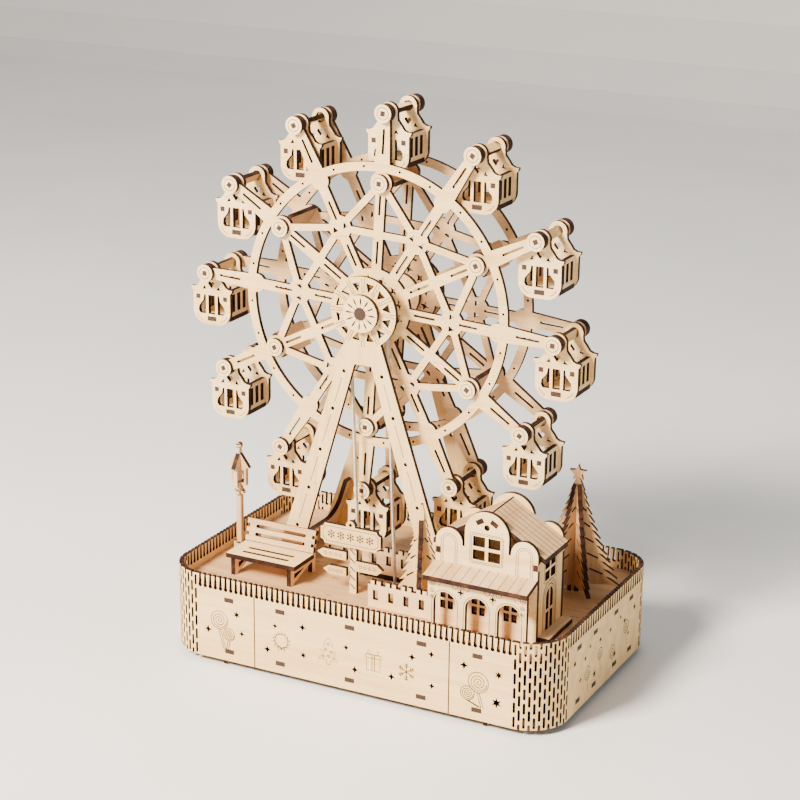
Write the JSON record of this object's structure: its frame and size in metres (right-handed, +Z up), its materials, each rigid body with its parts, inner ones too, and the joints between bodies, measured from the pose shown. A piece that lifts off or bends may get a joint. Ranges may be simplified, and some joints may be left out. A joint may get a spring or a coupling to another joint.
{
  "type": "wooden ferris wheel model",
  "caption": "Laser-cut plywood Ferris wheel model with hanging cabins, on a fenced base with a shop, firs, bench, lamp post and signpost.",
  "frame": {"origin": "on the floor under the middle of the base", "axes": "+X along the front wall to the right, +Y into the depth, +Z up"},
  "size_m": [0.2913, 0.1655, 0.3407],
  "materials": {
    "birch_ply": "sanded basswood ply, unfinished, with laser-burnt brown edges",
    "clear_belt": "clear elastic drive belt",
    "movement_casing": "moulded grey casing",
    "steel_shaft": "ground rod"
  },
  "bodies": {
    "base": {"back_wall": "birch_ply", "belt": "clear_belt", "bench_back": "birch_ply", "bench_frames": "birch_ply", "bench_seat": "birch_ply", "bottom_plate": "birch_ply", "corner_back_left": "birch_ply", "corner_back_right": "birch_ply", "corner_front_left": "birch_ply", "corner_front_right": "birch_ply", "cross_rib": "birch_ply", "deck": "birch_ply", "door_step": "birch_ply", "front_a_frame": "birch_ply", "front_fence": "birch_ply", "front_wall": "birch_ply", "house_arcade": "birch_ply", "house_doors": "birch_ply", "house_front": "birch_ply", "house_rear": "birch_ply", "house_roof": "birch_ply", "house_side_walls": "birch_ply", "lamp_post": "birch_ply", "large_fir": "birch_ply", "left_brace": "birch_ply", "left_rib": "birch_ply", "porch_roof": "birch_ply", "rear_a_frame": "birch_ply", "rear_fence": "birch_ply", "right_brace": "birch_ply", "right_rib": "birch_ply", "sign_boards": "birch_ply", "sign_post": "birch_ply", "small_fir": "birch_ply", "spring_movement": "movement_casing"},
    "wheel": {"front_wheel_face": "birch_ply", "rear_wheel_face": "birch_ply", "front_arms": "birch_ply", "rear_arms": "birch_ply", "tie_boards": "birch_ply", "peg_caps": "birch_ply", "cabin_rods": "birch_ply", "wheel_axle": "birch_ply", "hub_discs": "birch_ply", "wheel_pulley": "birch_ply"},
    "drive": {"drive_pulley": "birch_ply", "drive_shaft": "steel_shaft"},
    "key": {"winding_key": "birch_ply"},
    "cabin_01": {"cabin_01": "birch_ply"},
    "cabin_02": {"cabin_02": "birch_ply"},
    "cabin_03": {"cabin_03": "birch_ply"},
    "cabin_04": {"cabin_04": "birch_ply"},
    "cabin_05": {"cabin_05": "birch_ply"},
    "cabin_06": {"cabin_06": "birch_ply"},
    "cabin_07": {"cabin_07": "birch_ply"},
    "cabin_08": {"cabin_08": "birch_ply"},
    "cabin_09": {"cabin_09": "birch_ply"},
    "cabin_10": {"cabin_10": "birch_ply"},
    "cabin_11": {"cabin_11": "birch_ply"},
    "cabin_12": {"cabin_12": "birch_ply"}
  },
  "joints": [
    {"name": "wheel_spin", "type": "hinge", "parent": "base", "child": "wheel", "pos_m": [-0.028, 0.02, 0.2166], "axis": [0, 1, 0], "continuous": true},
    {"name": "drive_spin", "type": "hinge", "parent": "base", "child": "drive", "pos_m": [-0.02, 0, 0.027], "axis": [0, 1, 0], "continuous": true},
    {"name": "key_turn", "type": "hinge", "parent": "base", "child": "key", "pos_m": [-0.02, 0.08, 0.027], "axis": [0, 1, 0], "continuous": true},
    {"name": "cabin_01_swing", "type": "hinge", "parent": "wheel", "child": "cabin_01", "pos_m": [-0.02139, 0.02, 0.33492], "axis": [0, 1, 0], "continuous": true},
    {"name": "cabin_02_swing", "type": "hinge", "parent": "wheel", "child": "cabin_02", "pos_m": [0.03689, 0.02, 0.31576], "axis": [0, 1, 0], "continuous": true},
    {"name": "cabin_03_swing", "type": "hinge", "parent": "wheel", "child": "cabin_03", "pos_m": [0.07777, 0.02, 0.27003], "axis": [0, 1, 0], "continuous": true},
    {"name": "cabin_04_swing", "type": "hinge", "parent": "wheel", "child": "cabin_04", "pos_m": [0.09032, 0.02, 0.20999], "axis": [0, 1, 0], "continuous": true},
    {"name": "cabin_05_swing", "type": "hinge", "parent": "wheel", "child": "cabin_05", "pos_m": [0.07116, 0.02, 0.15171], "axis": [0, 1, 0], "continuous": true},
    {"name": "cabin_06_swing", "type": "hinge", "parent": "wheel", "child": "cabin_06", "pos_m": [0.02543, 0.02, 0.11083], "axis": [0, 1, 0], "continuous": true},
    {"name": "cabin_07_swing", "type": "hinge", "parent": "wheel", "child": "cabin_07", "pos_m": [-0.03461, 0.02, 0.09828], "axis": [0, 1, 0], "continuous": true},
    {"name": "cabin_08_swing", "type": "hinge", "parent": "wheel", "child": "cabin_08", "pos_m": [-0.09289, 0.02, 0.11744], "axis": [0, 1, 0], "continuous": true},
    {"name": "cabin_09_swing", "type": "hinge", "parent": "wheel", "child": "cabin_09", "pos_m": [-0.13377, 0.02, 0.16317], "axis": [0, 1, 0], "continuous": true},
    {"name": "cabin_10_swing", "type": "hinge", "parent": "wheel", "child": "cabin_10", "pos_m": [-0.14632, 0.02, 0.22321], "axis": [0, 1, 0], "continuous": true},
    {"name": "cabin_11_swing", "type": "hinge", "parent": "wheel", "child": "cabin_11", "pos_m": [-0.12716, 0.02, 0.28149], "axis": [0, 1, 0], "continuous": true},
    {"name": "cabin_12_swing", "type": "hinge", "parent": "wheel", "child": "cabin_12", "pos_m": [-0.08143, 0.02, 0.32237], "axis": [0, 1, 0], "continuous": true}
  ],
  "couplings": [
    {"joint": "drive_spin", "follows": "wheel_spin", "ratio": 1},
    {"joint": "cabin_01_swing", "follows": "wheel_spin", "ratio": -1},
    {"joint": "cabin_02_swing", "follows": "wheel_spin", "ratio": -1},
    {"joint": "cabin_03_swing", "follows": "wheel_spin", "ratio": -1},
    {"joint": "cabin_04_swing", "follows": "wheel_spin", "ratio": -1},
    {"joint": "cabin_05_swing", "follows": "wheel_spin", "ratio": -1},
    {"joint": "cabin_06_swing", "follows": "wheel_spin", "ratio": -1},
    {"joint": "cabin_07_swing", "follows": "wheel_spin", "ratio": -1},
    {"joint": "cabin_08_swing", "follows": "wheel_spin", "ratio": -1},
    {"joint": "cabin_09_swing", "follows": "wheel_spin", "ratio": -1},
    {"joint": "cabin_10_swing", "follows": "wheel_spin", "ratio": -1},
    {"joint": "cabin_11_swing", "follows": "wheel_spin", "ratio": -1},
    {"joint": "cabin_12_swing", "follows": "wheel_spin", "ratio": -1}
  ]
}
